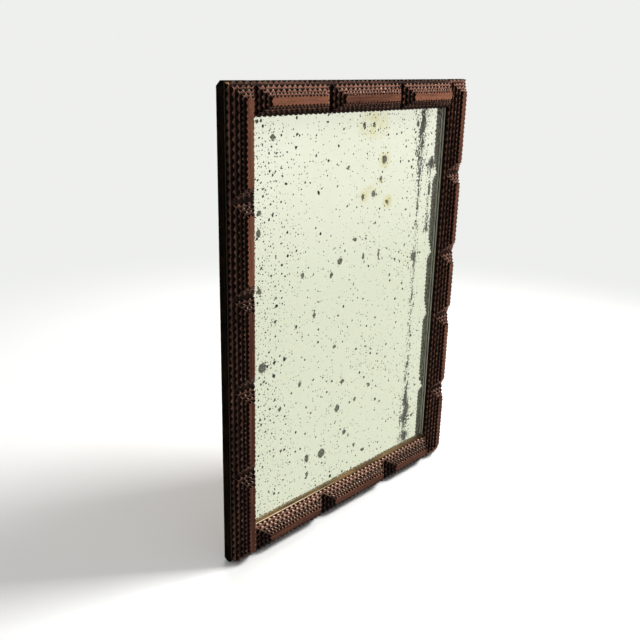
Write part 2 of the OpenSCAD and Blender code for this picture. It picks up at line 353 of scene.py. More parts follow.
def box_wood(name, dark, light, rubbed_and_highlight_colour, fresh_colour, dirt_and_shade_colour, dust_and_highlight_colour, roughness):
    """Thin box wood with grain, rubbed edges, grime and painted shade in its corners and on sides that face
    left, and dusty upward tips; the rubbed and dusty tips also carry a painted highlight.
    """
    material, tree, shader = new_material(name)
    grain = attribute(tree, "grain", "Vector")
    height = attribute(tree, "height")
    figure = use_group(tree, GRAIN, Grain=grain)
    edges = use_group(tree, HANDLING, Tip=attribute(tree, "tip"), Edge=attribute(tree, "edge"),
                      Height=height, Raw=attribute(tree, "raw"), Grain=grain)
    right, _, top = parts_of(out(add(tree, "ShaderNodeNewGeometry"), "Normal"))
    # Painted shade and light by the way a face points: sides that face left are darkened as shade, and
    # faces that point up keep less of the darkening, as if lit from above.
    up, shaded_left_side = top.step(0.1, 0.7), (right * -1).step(0.15, 0.5)
    dirt_and_shade = out(use_group(tree, DIRT_AND_SHADE, Height=height, Foot=attribute(tree, "foot"), Grain=grain))
    dirt_and_shade = (dirt_and_shade * (1 - up * 0.75)).most(shaded_left_side * 0.93)
    # The tone carries each side's and each ledge's painted light and shade, besides each strip's own random
    # tone.
    tone_and_light = attribute(tree, "tone")
    rub_and_highlight = attribute(tree, "rub_and_highlight")
    # The rubbed tips are partly wear and partly a painted highlight, as strong as the rub; sides that face
    # left lose it as painted shade.
    rubbed = out(edges, "Rubbed") * rub_and_highlight * (1 - shaded_left_side * 0.85)
    fibre = out(figure, "Fibre")
    slow = noise(grain.vector("MULTIPLY", (14, 3, 0)), 1, 2)
    tone = (out(figure, "Figure") - 0.5) * 0.5 + tone_and_light + (fibre - 0.5) * 0.6 + (slow - 0.5) * 0.6
    colour = mixed(tone.step(-0.1, 1.1), dark, light)
    colour = mixed(out(figure, "Pores") * 0.6, colour, dirt_and_shade_colour)
    colour = mixed(dirt_and_shade, colour, dirt_and_shade_colour)
    colour = mixed(rubbed, colour, rubbed_and_highlight_colour)
    colour = mixed(out(edges, "Fresh"), colour, fresh_colour)
    # Upward tips are paled partly by settled dust and partly as a painted highlight from the light above;
    # sides that face left get none, as painted shade.
    lit_dusty_tip = attribute(tree, "tip").step(0.5, 0.95) * height.step(0.4, 0.95) * rub_and_highlight
    dust_and_highlight = up * (1 - shaded_left_side) * (lit_dusty_tip * 0.8 + 0.2)
    colour = mixed(dust_and_highlight * (fibre * 0.6 + 0.5), colour, dust_and_highlight_colour)
    plug(colour, shader.inputs["Base Color"])
    plug(dirt_and_shade * 0.2 - rubbed * 0.12 + fibre * 0.2 + (roughness - 0.1), shader.inputs["Roughness"])
    relief = fibre - out(figure, "Pores") * 0.5
    plug(bumped(relief, 0.5, 0.25 * MM), shader.inputs["Normal"])
    shader.inputs["Specular IOR Level"].default_value = 0.05
    return material


stained_wood = box_wood(
    "stained_box_wood", dark=screen(50, 33, 27), light=screen(140, 98, 82),
    rubbed_and_highlight_colour=screen(204, 170, 148), fresh_colour=screen(190, 136, 96),
    dirt_and_shade_colour=screen(9, 6, 5), dust_and_highlight_colour=screen(232, 208, 184), roughness=0.55)
red_wood = box_wood(
    "red_cap_wood", dark=screen(57, 29, 19), light=screen(121, 77, 57),
    rubbed_and_highlight_colour=screen(186, 124, 92), fresh_colour=screen(214, 156, 108),
    dirt_and_shade_colour=screen(12, 7, 6), dust_and_highlight_colour=screen(214, 176, 154), roughness=0.5)
print("woods:", stained_wood.name, red_wood.name)

# %% [markdown]
# ## A rule for a notched strip
# A strip is a thin board whose edges are rows of teeth, cut one by one with a knife. It could be cut
# out of a block with hundreds of small booleans, but a grid does it more cleanly: for every tooth the
# grid has two points for the blunt tip and one for the notch after it, along the strip and across it.
# The points on the border move in to make the notches, each by its own amount, as no two cuts of a
# hand are the same. The border is then drawn back to the rear face to make the sides.


# %% Teeth along an edge
def tooth_of(step):
    """The tooth of a grid step and its part: 0 and 1 are the tip's shoulders, 2 is the notch."""
    tooth = ((step + 0.5) / 3).floor()
    return tooth, step - tooth * 3


def nominal(step, teeth, run, tip_flat):
    """Where a grid step lies along an edge before the hand wanders, and whether it is a notch."""
    tooth, part = tooth_of(step)
    pitch = run / teeth
    notch = part.over(1.5)
    offset = notch * pitch * 0.5 + (1 - notch) * (part - 0.5) * tip_flat
    return (tooth * pitch + offset).most(0).least(run), tooth, notch


def chance(low, high, number, seed):
    """A random value that depends only on a number and the strip's seed."""
    node = add(number.tree, "FunctionNodeRandomValue", {"data_type": "FLOAT"},
               Min=low, Max=high, ID=number, Seed=seed)
    return out(node, "Value")


def held(value, low, high, where):
    """The value kept between low and high, but only where the mask is 1."""
    return value + (value.most(low).least(high) - value) * where


print("a tooth takes three grid steps: shoulder, shoulder, notch")

# %% [markdown]
# The tree's inputs are the strip's sizes and how roughly it was cut. Along and Across are directions,
# so the same tree makes a strip on any side of the frame. A plain board is a strip with no notches.
# The covers say how wide a ledge the next layer leaves bare. The tones paint light and shade: they make
# one ledge paler or darker than the rest of the strip, and the shade paints the outer ledge black. The
# rub says how worn the tips are, and where it is set high it also paints a highlight.

# %% Inputs of the strip
STRIP_INPUTS = [
    ("Start", "Vector"), ("Along", "Vector"), ("Across", "Vector"),
    ("Length", "Float"), ("Width", "Float"), ("Thickness", "Float"),
    ("Long teeth", "Int"), ("End teeth", "Int"),
    ("Outer notch", "Float"), ("Sight notch", "Float"), ("End notch", "Float"),
    ("Sight from", "Float"), ("Sight to", "Float"),
    ("Tip flat", "Float"), ("Front arris", "Float"), ("Rear arris", "Float"),
    ("Wander", "Float"), ("Tip wear", "Float"), ("Chip share", "Float"), ("Chip depth", "Float"),
    ("Low corner wear", "Float"), ("High corner wear", "Float"),
    ("Outer cover", "Float"), ("Sight cover", "Float"), ("End cover", "Float"),
    ("Tone", "Float"), ("Sight light and shade", "Float"), ("Low end shade", "Float"), ("High end light", "Float"),
    ("Outer shade", "Float"), ("Rub and highlight", "Float"), ("Seed", "Int"), ("Wood", "Material"),
]
print("inputs of the strip:", len(STRIP_INPUTS))


# %% Places of the grid's points
class Border:
    """Which points of the grid lie on its border, as masks of 0 and 1."""

    def __init__(self, row, rows, column, columns):
        self.outer, self.sight = row.under(1.5), row.over(rows - 2.5)
        self.low, self.high = column.under(1.5), column.over(columns - 2.5)
        long_edge, end_edge = self.outer.most(self.sight), self.low.most(self.high)
        self.on_long, self.on_end = long_edge * (1 - end_edge), end_edge * (1 - long_edge)
        self.inside = (1 - long_edge) * (1 - end_edge)
        self.rim = (row.under(0.5).most(row.over(rows - 1.5))
                    .most(column.under(0.5)).most(column.over(columns - 1.5)))


OTHER_EDGE_ID, END_ID = 500, 1000
CUT_SPREAD = (0.84, 1.1)
NOTCH_ROOM, TIP_ROOM = 1.2, 1.5


def carve(given, border, row, column):
    """Moves the border's points in to the notches. Returns x, y and masks of notch, cut edge and chip."""
    length, width, tip_flat, seed = (given[k] for k in ("Length", "Width", "Tip flat", "Seed"))
    x, tooth_x, notch_x = nominal(column, given["Long teeth"], length, tip_flat)
    y, tooth_y, notch_y = nominal(row, given["End teeth"], width, tip_flat)
    long_id = tooth_x + border.sight * OTHER_EDGE_ID
    end_id = tooth_y + border.high * OTHER_EDGE_ID + END_ID
    open_sight = x.over(given["Sight from"]) * x.under(given["Sight to"])
    depth = border.outer * given["Outer notch"] + border.sight * given["Sight notch"] * open_sight
    chipped = (chance(0, 1, long_id, seed + 3).under(given["Chip share"]) * (1 - notch_x)
               * border.on_long * depth.over(0))
    cut_y = notch_x * depth * chance(*CUT_SPREAD, long_id, seed)
    worn_y = (1 - notch_x) * given["Tip wear"] * chance(0, 1, long_id, seed + 1)
    in_y = (cut_y + worn_y + chipped * given["Chip depth"]) * border.on_long
    cut_x = notch_y * given["End notch"] * chance(*CUT_SPREAD, end_id, seed)
    worn_x = (1 - notch_y) * given["Tip wear"] * chance(0, 1, end_id, seed + 1)
    in_x = (cut_x + worn_x) * border.on_end
    slip_x = chance(-1, 1, long_id * 2 + notch_x, seed + 5) * given["Wander"] * border.on_long
    slip_y = chance(-1, 1, end_id * 2 + notch_y, seed + 7) * given["Wander"] * border.on_end
    end_room, outer_room, sight_room = (given[k] * NOTCH_ROOM + tip_flat * TIP_ROOM
                                        for k in ("End notch", "Outer notch", "Sight notch"))
    x = held(x, end_room, length - end_room, border.inside)
    y = held(y, outer_room, width - sight_room, border.inside)
    x = x + in_x * (border.low - border.high) + slip_x
    y = y + in_y * (border.outer - border.sight) + slip_y
    notch = border.on_long * notch_x * depth.over(0) + border.on_end * notch_y * given["End notch"].over(0)
    cut = border.on_long * depth.over(0) + border.on_end * given["End notch"].over(0)
    return x, y, notch, cut, chipped


DEEPER_INSIDE, RAW_DEPTH = 0.3, 1.2 * MM


def wear_corners(given, border, x, y):
    """Cuts the two outer corners back, as knocks and falls do. Returns x, y and the raw wood shown."""
    deeper = (1 - border.rim) * DEEPER_INSIDE + 1
    low_gap = (given["Low corner wear"] * deeper - x - y).most(0) * 0.5
    high_gap = (given["High corner wear"] * deeper - (given["Length"] - x) - y).most(0) * 0.5
    return x + low_gap - high_gap, y + low_gap + high_gap, high_gap / RAW_DEPTH


print("a border has two long edges and two ends")


# %% Places and values on the points
def place(given, x, y, height):
    """The point that lies x along the strip, y across it and height in front of its rear face."""
    point = given["Start"].vector("ADD", given["Along"].scaled(x))
    point = point.vector("ADD", given["Across"].scaled(y))
    forward = out(add(x.tree, "ShaderNodeCombineXYZ", Y=height * -1))
    return point.vector("ADD", forward)


def stored(geometry, name, value, data_type="FLOAT", selection=True):
    """The geometry with a named value on each point."""
    settings = {"data_type": data_type, "domain": "POINT"}
    return out(add(geometry.tree, "GeometryNodeStoreNamedAttribute", settings,
                   Geometry=geometry, Name=name, Value=value, Selection=selection))


def recalled(tree, name):
    """A place that was stored on the points."""
    settings = {"data_type": "FLOAT_VECTOR"}
    return out(add(tree, "GeometryNodeInputNamedAttribute", settings, Name=name), "Attribute")


def moved(geometry, position, selection=True):
    return out(add(geometry.tree, "GeometryNodeSetPosition",
                   Geometry=geometry, Position=position, Selection=selection))


print("each point stores a front place and a rear place")

# %% The strip's grid
LIT_LEDGE_SHADE_LOSS, MOST_FOOT = 0.6, 1.5
TONE_SPREAD, TONE_SEED = 0.07, 21
GRAIN_SHIFT_X, GRAIN_SHIFT_Y = 0.37, 0.11
HOLLOW_DEPTH = 0.2 * MM


def with_tones(grid, given, x, y):
    """Stores how dirty and shaded, how rubbed and highlighted, and how pale each point is, with the painted
    light and shade of the ledge that it lies on.
    """
    from_sight, from_high = given["Width"] - y, given["Length"] - x
    foot = ((y / given["Outer cover"]).least(from_sight / given["Sight cover"])
            .least(x / given["End cover"]).least(from_high / given["End cover"]))
    # Painted light and shade on the ledges: the outer shade darkens the outer ledge and also feeds the
    # foot's darkening, and the ledge tones lighten or darken the sight and end ledges. They also scale the
    # rub, so that ledges in painted shade lose their highlights.
    shade = y.under(given["Outer cover"]) * given["Outer shade"]
    sight_light_and_shade = from_sight.under(given["Sight cover"]) * given["Sight light and shade"]
    ledge_light_and_shade = (sight_light_and_shade + x.under(given["End cover"]) * given["Low end shade"]
             + from_high.under(given["End cover"]) * given["High end light"] - shade)
    # Ledges painted lighter keep less of the darkening at their foot.
    shade_kept = 1 - sight_light_and_shade.most(0) * LIT_LEDGE_SHADE_LOSS
    grid = stored(grid, "foot", (foot * shade_kept).most(shade).least(MOST_FOOT))
    grid = stored(grid, "rub_and_highlight", given["Rub and highlight"] * (ledge_light_and_shade + 1).most(0))
    own = chance(-TONE_SPREAD, TONE_SPREAD, given["Seed"], TONE_SEED)
    return stored(grid, "tone", given["Tone"] + own + ledge_light_and_shade)


def strip_grid(tree, given):
    """The flat grid of a strip, with its front and rear places and its wear stored on the points."""
    columns, rows = given["Long teeth"] * 3 + 2, given["End teeth"] * 3 + 2
    grid = out(add(tree, "GeometryNodeMeshGrid", Vertices_X=columns, Vertices_Y=rows), "Mesh")
    index = out(add(tree, "GeometryNodeInputIndex"))
    column = ((index + 0.5) / rows).floor()
    row = index - column * rows
    border = Border(row, rows, column, columns)
    x, y, notch, cut, chipped = carve(given, border, row, column)
    x, y, broken = wear_corners(given, border, x, y)
    seed, thickness = given["Seed"], given["Thickness"]
    grain = out(add(tree, "ShaderNodeCombineXYZ", X=x + seed * GRAIN_SHIFT_X,
                    Y=y + seed * GRAIN_SHIFT_Y, Z=thickness))
    hollow = noise(grain, 30, 1) * HOLLOW_DEPTH * (1 - border.rim)
    front = thickness - border.rim * given["Front arris"] * (1 - notch * 0.5) - hollow
    rear = border.rim * given["Rear arris"]
    grid = stored(grid, "front_place", place(given, x, y, front), "FLOAT_VECTOR")
    grid = stored(grid, "rear_place", place(given, x, y, rear), "FLOAT_VECTOR")
    grid = stored(grid, "grain", grain, "FLOAT_VECTOR")
    grid = stored(grid, "tip", cut * (1 - notch) * (border.rim * 0.3 + 0.7))
    grid = stored(grid, "edge", border.rim * 0.55 + (1 - border.inside) * 0.45)
    return with_tones(stored(grid, "raw", chipped * 0.5 + broken), given, x, y)


print("a strip's tone differs by up to", TONE_SPREAD, "from its neighbours'")

# %% The strip's tree
WELD = 0.002 * MM


def strip_tree():
    """Geometry Nodes: a notched strip with a front, sides and a rear."""
    tree, given, end = new_group("Notched strip", "GeometryNodeTree", STRIP_INPUTS,
                                 [("Geometry", "Geometry")])
    grid = strip_grid(tree, given)
    front = stored(moved(grid, recalled(tree, "front_place")), "height", 1.0)
    faces = out(add(tree, "GeometryNodeInputMeshEdgeNeighbors"), "Face Count")
    sides = add(tree, "GeometryNodeExtrudeMesh", {"mode": "EDGES"},
                Mesh=front, Selection=faces.under(1.5), Offset_Scale=0.0)
    drawn = out(sides, "Top")
    rear_place = recalled(tree, "rear_place")
    body = stored(moved(out(sides, "Mesh"), rear_place, drawn), "height", 0.0, selection=drawn)
    rear = stored(moved(grid, rear_place), "height", 0.0)
    rear = out(add(tree, "GeometryNodeFlipFaces", Mesh=rear))
    joined = add(tree, "GeometryNodeJoinGeometry")
    for part in (body, rear):
        plug(part, joined.inputs[0])
    closed = out(add(tree, "GeometryNodeMergeByDistance", Geometry=out(joined), Distance=WELD))
    for name in ("front_place", "rear_place"):
        closed = out(add(tree, "GeometryNodeRemoveAttribute", Geometry=closed, Name=name))
    solid = out(add(tree, "GeometryNodeRealizeInstances", Geometry=closed))
    plug(out(add(tree, "GeometryNodeSetMaterial", Geometry=solid, Material=given["Wood"])), end.inputs[0])
    return tree


STRIP = strip_tree()
STRIP_SOCKETS = {item.name: item.identifier for item in STRIP.interface.items_tree
                 if item.in_out == "INPUT"}
print(STRIP.name, "has", len(STRIP.nodes), "nodes")

# %% [markdown]
# ## From a CAD box to a carved piece
# Each strip takes its place and size from the CAD model's own box, so nothing has to be fitted. Some
# CAD nodes hold a row of separate strips: their loose triangles are joined at the corners and followed
# from point to point, which gives one box for each strip.


# %% Boxes of the CAD solids
SAME_POINT = 0.001 * MM


def solids(node):
    """The lowest and highest corner of each separate solid of a CAD node."""
    mesh = bmesh.new()
    mesh.from_mesh(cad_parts[node].data)
    bmesh.ops.remove_doubles(mesh, verts=mesh.verts, dist=SAME_POINT)
    left, boxes = set(mesh.verts), []
    while left:
        group, front = [], [left.pop()]
        while front:
            vertex = front.pop()
            group.append(vertex.co.copy())
            near = {e.other_vert(vertex) for e in vertex.link_edges} & left
            left -= near
            front.extend(near)
        boxes.append((Vector([min(v[i] for v in group) for i in range(3)]),
                      Vector([max(v[i] for v in group) for i in range(3)])))
    mesh.free()
    return sorted(boxes, key=lambda box: (round(box[0].z, 4), round(box[0].x, 4)))


def lie(side, low, high):
    """How a piece of one side lies: its start, its two directions and its three sizes."""
    size = high - low
    upright = side in ("left", "right")
    start = Vector((high.x if side == "right" else low.x, high.y, high.z if side == "top" else low.z))
    across = {"left": (1, 0, 0), "right": (-1, 0, 0), "top": (0, 0, -1), "bottom": (0, 0, 1)}[side]
    along = (0, 0, 1) if upright else (1, 0, 0)
    length, width = (size.z, size.x) if upright else (size.x, size.z)
    return {"Start": start, "Along": along, "Across": across,
            "Length": length, "Width": width, "Thickness": size.y}


print("strips in the left second layer:", len(solids("left_second_strips")))


# %% Making a piece from the tree
def grown(name, values):
    """A plain mesh object made by the strip's tree with these input values."""
    carrier = bpy.data.objects.new(name, bpy.data.meshes.new(name))
    bpy.context.scene.collection.objects.link(carrier)
    carving = carrier.modifiers.new("carving", "NODES")
    carving.node_group = STRIP
    for label, value in values.items():
        carving[STRIP_SOCKETS[label]] = value
    graph = bpy.context.evaluated_depsgraph_get()
    mesh = bpy.data.meshes.new_from_object(carrier.evaluated_get(graph))
    mesh.materials.clear()
    mesh.materials.append(values["Wood"])
    carrier.modifiers.clear()
    carrier.data = mesh
    return carrier


def joined(name, pieces):
    """One object of several pieces, with its faces turned outwards."""
    first = pieces[0]
    if len(pieces) > 1:
        with bpy.context.temp_override(active_object=first, object=first, selected_objects=pieces,
                                       selected_editable_objects=pieces):
            bpy.ops.object.join()
    first.name = first.data.name = name
    mesh = bmesh.new()
    mesh.from_mesh(first.data)
    bmesh.ops.recalc_face_normals(mesh, faces=mesh.faces)
    mesh.to_mesh(first.data)
    mesh.free()
    return first


def hand_over(piece, node):
    """The piece stands for its CAD node, which is hidden, and moves with the frame."""
    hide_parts(node)
    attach(piece, "root")


print("a piece is grown, joined and handed over")

# %% [markdown]
# ## The notched strips
# The stiles are cut a little coarser than the rails, and the two upper layers finer than the lower
# ones. Most strips are notched all round. The ground strips are the exceptions: a stile's sight edge
# is notched only between the rails, and a rail's ends are plain because they butt against the stiles.
# Spacing and depth of the notches are those of the CAD model. The wear could be one value for all, but
# light and hands reach each side differently, so tone and rub are given by side and, where it shows,
# by layer from the ground up. Besides the wear, these values paint light and shade into the colour.

# %% Sizes of the carving
SIDES = ("left", "right", "top", "bottom")
STACKS = {"left": 5, "right": 5, "top": 3, "bottom": 3}
PITCH = {("stile", "coarse"): 9.4 * MM, ("stile", "fine"): 6.5 * MM,
         ("rail", "coarse"): 8.3 * MM, ("rail", "fine"): 5.8 * MM}
OUTER_NOTCH = {"coarse": 3.4 * MM, "fine": 2.4 * MM}
SIGHT_NOTCH = 2.5 * MM
END_NOTCH = {"coarse": 3.2 * MM, "fine": 2.4 * MM}
FIRST_FINE, CAP = 4, 5
print("teeth of a ground stile:", round((cad_high.z - cad_low.z) / PITCH["stile", "coarse"]))

# %% Finish of each side
UNCOVERED = 40 * MM
OUTER_COVER = {1: 4.8 * MM, 2: 4.4 * MM, 3: 3.8 * MM, 4: 3.0 * MM, CAP: UNCOVERED}
SIGHT_COVER = {"left": 3.0 * MM, "right": 3.0 * MM, "top": 3.0 * MM, "bottom": 5.2 * MM}
END_COVER = 4.0 * MM
# Tone by side is painted light and shade: each side's strips are made paler or darker for the light that
# falls on that side.
SIDE_LIGHT_AND_SHADE = {"left": 0.26, "right": 0.68, "top": 0.9, "bottom": 0.28}
# Ledge tones are painted light and shade: the top rail's sight ledges are darkened and the bottom rail's
# upward sight ledges lightened, as by light from above; the left ends of the rails' inner strips are
# darkened as shade, and the upper end ledges of the topmost stile strips lightened as lit from above.
SIGHT_LIGHT_AND_SHADE = {"left": (0.0, 0.0, 0.0, 0.0, 0.0), "right": (0.0, 0.0, 0.0, 0.0, 0.0),
              "top": (-0.8, -0.8, -0.8, -0.8, 0.0), "bottom": (0.75, 0.6, 0.1, 0.1, 0.0)}
TOP_END_LIGHT, LEFT_END_SHADE = 0.5, -0.8
# Rub by side and layer: wear on the tips, set high as a painted highlight where the tips catch light from
# above, as on the bottom rail and the top rail's third and fourth layers.
RUB_AND_HIGHLIGHT = {"left": (0.3, 0.45, 0.9, 1.1, 0.35), "right": (0.6, 0.6, 0.6, 0.6, 0.45),
       "top": (0.5, 1.0, 2.6, 2.6, 0.9), "bottom": (1.7, 2.2, 0.9, 1.6, 1.0)}
RIGHT_FADE = 0.8
BOTTOM_SHADE = 0.92
# Tone of each cap: it differs from strip to strip, and the top caps are also made paler and the bottom caps
# darker as painted light from above.
CAP_TONE_AND_LIGHT = {"left": (0.06, 0.18, 0.33, 0.63, 0.48), "right": (0.25, 0.35, 0.33, 0.33, 0.33),
            "top": (0.68, 0.47, 0.88), "bottom": (0.15, 0.26, 0.28)}
TOP_GROUND_TONE = 0.1
TOP_STACK_REACH = 30 * MM
BLUNT_TIP = 0.9 * MM
HAND = {"Tip flat": 0.5 * MM, "Front arris": 0.3 * MM, "Rear arris": 0.0, "Wander": 0.45 * MM,
        "Tip wear": 0.3 * MM, "Chip share": 0.003, "Chip depth": 1.2 * MM,
        "Low corner wear": 1.2 * MM, "High corner wear": 1.2 * MM}
print("tones of the caps:", sum(len(tones) for tones in CAP_TONE_AND_LIGHT.values()))


# %% Values of one strip
def strip_values(side, layer, low, high, seed):
    """Input values of one strip of a layer."""
    member = "stile" if side in ("left", "right") else "rail"
    cut = "coarse" if layer < FIRST_FINE else "fine"
    topmost = member == "stile" and high.z > cad_high.z - TOP_STACK_REACH
    inner = 1 < layer < CAP
    values = lie(side, low, high)
    values.update(HAND)
    values.update({
        "Long teeth": max(1, round(values["Length"] / PITCH[member, cut])),
        "End teeth": max(1, round(values["Width"] / PITCH["rail", cut])),
        "Outer notch": OUTER_NOTCH[cut], "Sight notch": SIGHT_NOTCH, "End notch": END_NOTCH[cut],
        "Sight from": 0.0, "Sight to": values["Length"],
        "Outer cover": OUTER_COVER[layer],
        "Sight cover": SIGHT_COVER[side] if layer < CAP else UNCOVERED,
        "End cover": END_COVER if layer < CAP else UNCOVERED,
        "Tone": SIDE_LIGHT_AND_SHADE[side], "Rub and highlight": RUB_AND_HIGHLIGHT[side][layer - 1], "Seed": seed,
        "Sight light and shade": SIGHT_LIGHT_AND_SHADE[side][layer - 1],
        "Low end shade": LEFT_END_SHADE if member == "rail" and inner else 0.0,
        "High end light": TOP_END_LIGHT if topmost and inner else 0.0,
        "Outer shade": BOTTOM_SHADE if side == "bottom" and layer < CAP else 0.0,
        "Wood": red_wood if layer == CAP else stained_wood})
    if side == "bottom":
        values["Tip flat"] = BLUNT_TIP
        # The bottom rail's rub and sight-ledge tone, and so its painted highlights and painted light, fade
        # towards the right.
        fade = 1 - RIGHT_FADE * (low.x - cad_low.x) / (cad_high.x - cad_low.x)
        values["Rub and highlight"] *= fade
        values["Sight light and shade"] *= fade
    return values


print("values of a strip:", len(strip_values("top", 1, *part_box("top_ground_strip"), seed=0)))

# %% Ground strips
WORN_CORNERS = {"left": {"Low corner wear": 7.0 * MM, "High corner wear": 3.4 * MM}}
for number, side in enumerate(SIDES):
    node = f"{side}_ground_strip"
    values = strip_values(side, 1, *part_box(node), seed=11 + number)
    if side in ("left", "right"):
        values["End notch"] = OUTER_NOTCH["coarse"]
        values["End teeth"] = round(values["Width"] / PITCH["stile", "coarse"])
        values["Sight from"] = values["Width"]
        values["Sight to"] = values["Length"] - values["Width"]
    else:
        values.update({"End notch": 0.0, "Low corner wear": 0.0, "High corner wear": 0.0})
    if side == "top":
        values["Tone"] = TOP_GROUND_TONE
    values.update(WORN_CORNERS.get(side, {}))
    piece = joined(f"{side}_ground_carved", [grown(node, values)])
    hand_over(piece, node)
    print(piece.name, len(piece.data.polygons), "faces")

# %% Second and third strips
for layer, word in ((2, "second"), (3, "third")):
    for number, side in enumerate(SIDES):
        node = f"{side}_{word}_strips"
        strips = [grown(node, strip_values(side, layer, low, high, seed=100 * layer + 20 * number + i))
                  for i, (low, high) in enumerate(solids(node))]
        piece = joined(f"{side}_{word}_carved", strips)
        hand_over(piece, node)
        print(piece.name, len(piece.data.polygons), "faces")

# %% Fourth strips and caps
for layer, word, slot in ((4, "fourth_strip", "notched_wood"), (CAP, "cap_strip", "cap_wood")):
    for number, side in enumerate(SIDES):
        for i in range(1, STACKS[side] + 1):
            node = f"{side}_{word}_{i}"
            values = strip_values(side, layer, *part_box(node), seed=100 * layer + 20 * number + i)
            if layer == CAP:
                values["Tone"] = CAP_TONE_AND_LIGHT[side][i - 1]
            piece = joined(f"{side}_{word}_{i}_carved", [grown(node, values)])
            hand_over(piece, node)
    print("layer", layer, "done, last piece", piece.name, len(piece.data.polygons), "faces")

# %% [markdown]
# ## Boards behind the strips
# The strips are glued on plain base boards, and battens behind these make the depth of the side. The
# maker stained only what would be seen: the outer edges are nearly black, the lip beside the glass is
# bare golden wood, and the back has never been touched. The lip is painted black as shade above the
# bottom rail and carries a painted highlight along its front edge. The same tree makes these boards,
# with no notches and with eased edges. A plain box would do, but its knife-sharp edges never catch the
# light.

# %% Bare softwood
def across_frame(tree):
    """Wires for the frame's own x and z, in metres, and for the point itself."""
    point = out(add(tree, "ShaderNodeTexCoord"), "Object")
    x, _, z = parts_of(point)
    return x, z, point


BRUSH_WANDER, SOFT_EDGE = 4 * MM, 0.8 * MM


def stain_mask(x, z, point, reach):
    """1 on the outside of the frame and 0 further in than the brush reached."""
    ragged = (noise(point, 160, 3) - 0.5) * BRUSH_WANDER
    middle = (cad_low.z + cad_high.z) / 2
    sides, ends = ((run.size() + ragged).step(half - reach - SOFT_EDGE, half - reach)
                   for run, half in ((x, cad_high.x), (z - middle, cad_high.z - middle)))
    return sides.most(ends)


def knots(grain):
    """How far the nearest knot is, as a share of the way to the next. Half of the places have none."""
    flat = grain.vector("MULTIPLY", (4.0, 8.0, 0.0))
    distance, luck, _ = scattered(flat.vector("ADD", wobble(grain, 70, 2).scaled(0.05)), 1.0)
    return distance + luck.over(0.5)


def softwood(grain, point, dark, light):
    """The colour of bare softwood with growth rings, knots and old damp, and its fibre and rings."""
    knot = knots(grain)
    bent = noise(grain.vector("MULTIPLY", (5, 60, 60)), 1, 2) + knot.step(0.35, 0.0) * 0.8
    rings = (bent * 40).math("SINE") * 0.5 + 0.5
    fibre, blotch = out(use_group(grain.tree, GRAIN, Grain=grain), "Fibre"), noise(point, 22, 3)
    tone = rings * 0.35 + fibre * 0.5 + (blotch - 0.5) * 0.6
    colour = mixed(tone.step(0.1, 0.8), light, dark)
    heart = mixed((knot * 260).math("SINE") * 0.5 + 0.5, screen(84, 52, 30), screen(48, 29, 18))
    colour = mixed(knot.step(0.065, 0.05), colour, heart)
    damp = noise(point, 9, 4).step(0.55, 0.75) * 0.5
    return mixed(damp, colour, screen(70, 56, 42)), fibre, rings


print("the brush wanders by", BRUSH_WANDER / MM, "mm")


# %% Board materials
def board_wood(name, dark, light, stain_and_shade_colour, reach, gold_up_to=None):
    """Bare softwood, blackened by staining on the outside of the frame.

    With gold_up_to it is the wood of the lip: bare only below that height, with a painted highlight along
    its front edge on the left. Above that height it is painted black as shade, with a grey band in the
    middle of its edge on the right, and the lip's right part is darkened as painted shade."""
    material, tree, shader = new_material(name)
    grain = attribute(tree, "grain", "Vector")
    x, z, point = across_frame(tree)
    colour, fibre, rings = softwood(grain, point, dark, light)
    stain_and_shade_mask = stain_mask(x, z, point, reach)
    edge = attribute(tree, "edge") + (noise(point, 500, 2) - 0.5) * 0.4
    height = attribute(tree, "height")
    pale = edge.step(0.85, 1.1) * (height - 0.5).size().step(0.42, 0.5) * 0.5
    if gold_up_to is not None:
        # Painted shade: above this height the lip is black, as the shade on the sides and top of the
        # opening, with a grey band in the middle of its edge on the right; the lip's right part is also
        # darkened as painted shade.
        above = z.step(gold_up_to - 2 * MM, gold_up_to)
        middle_of_edge = height.step(0.05, 0.3) * height.step(0.95, 0.7)
        grey = above * (1 - stain_and_shade_mask) * x.step(0.1, 0.15) * middle_of_edge
        stain_and_shade_mask = stain_and_shade_mask.most(above).most(x.step(0.06, 0.2) * 0.4)
        # Painted highlight: a pale line along the front edge of the lip, on the left.
        pale = edge.step(0.35, 0.6) * height.step(0.88, 0.95) * x.step(0.0, -0.12)
    colour = mixed(stain_and_shade_mask * (fibre * 0.1 + 0.92), colour, stain_and_shade_colour)
    if gold_up_to is not None:
        colour = mixed(grey * (fibre * 0.5 + 0.6), colour, screen(172, 168, 158))
    colour = mixed(pale * (1 - stain_and_shade_mask * 0.95), colour, screen(232, 210, 176))
    plug(colour, shader.inputs["Base Color"])
    plug(fibre * 0.2 + 0.55, shader.inputs["Roughness"])
    shader.inputs["Specular IOR Level"].default_value = 0.0
    plug(bumped(fibre + rings * 0.3, 0.5, 0.3 * MM), shader.inputs["Normal"])
    return material


LIP_TOP = 43.5 * MM
BLACK_STAIN_AND_SHADE = screen(7, 5, 5)
lip_wood = board_wood("lip_wood", screen(70, 53, 35), screen(119, 94, 64), BLACK_STAIN_AND_SHADE,
                      reach=14 * MM, gold_up_to=cad_low.z + LIP_TOP)
batten_wood = board_wood("batten_wood", screen(84, 62, 42), screen(138, 108, 76), BLACK_STAIN_AND_SHADE,
                         reach=9 * MM)
back_wood = board_wood("back_wood", screen(104, 78, 50), screen(158, 126, 88), screen(40, 28, 20),
                       reach=2 * MM)
print("boards:", lip_wood.name, batten_wood.name, back_wood.name)


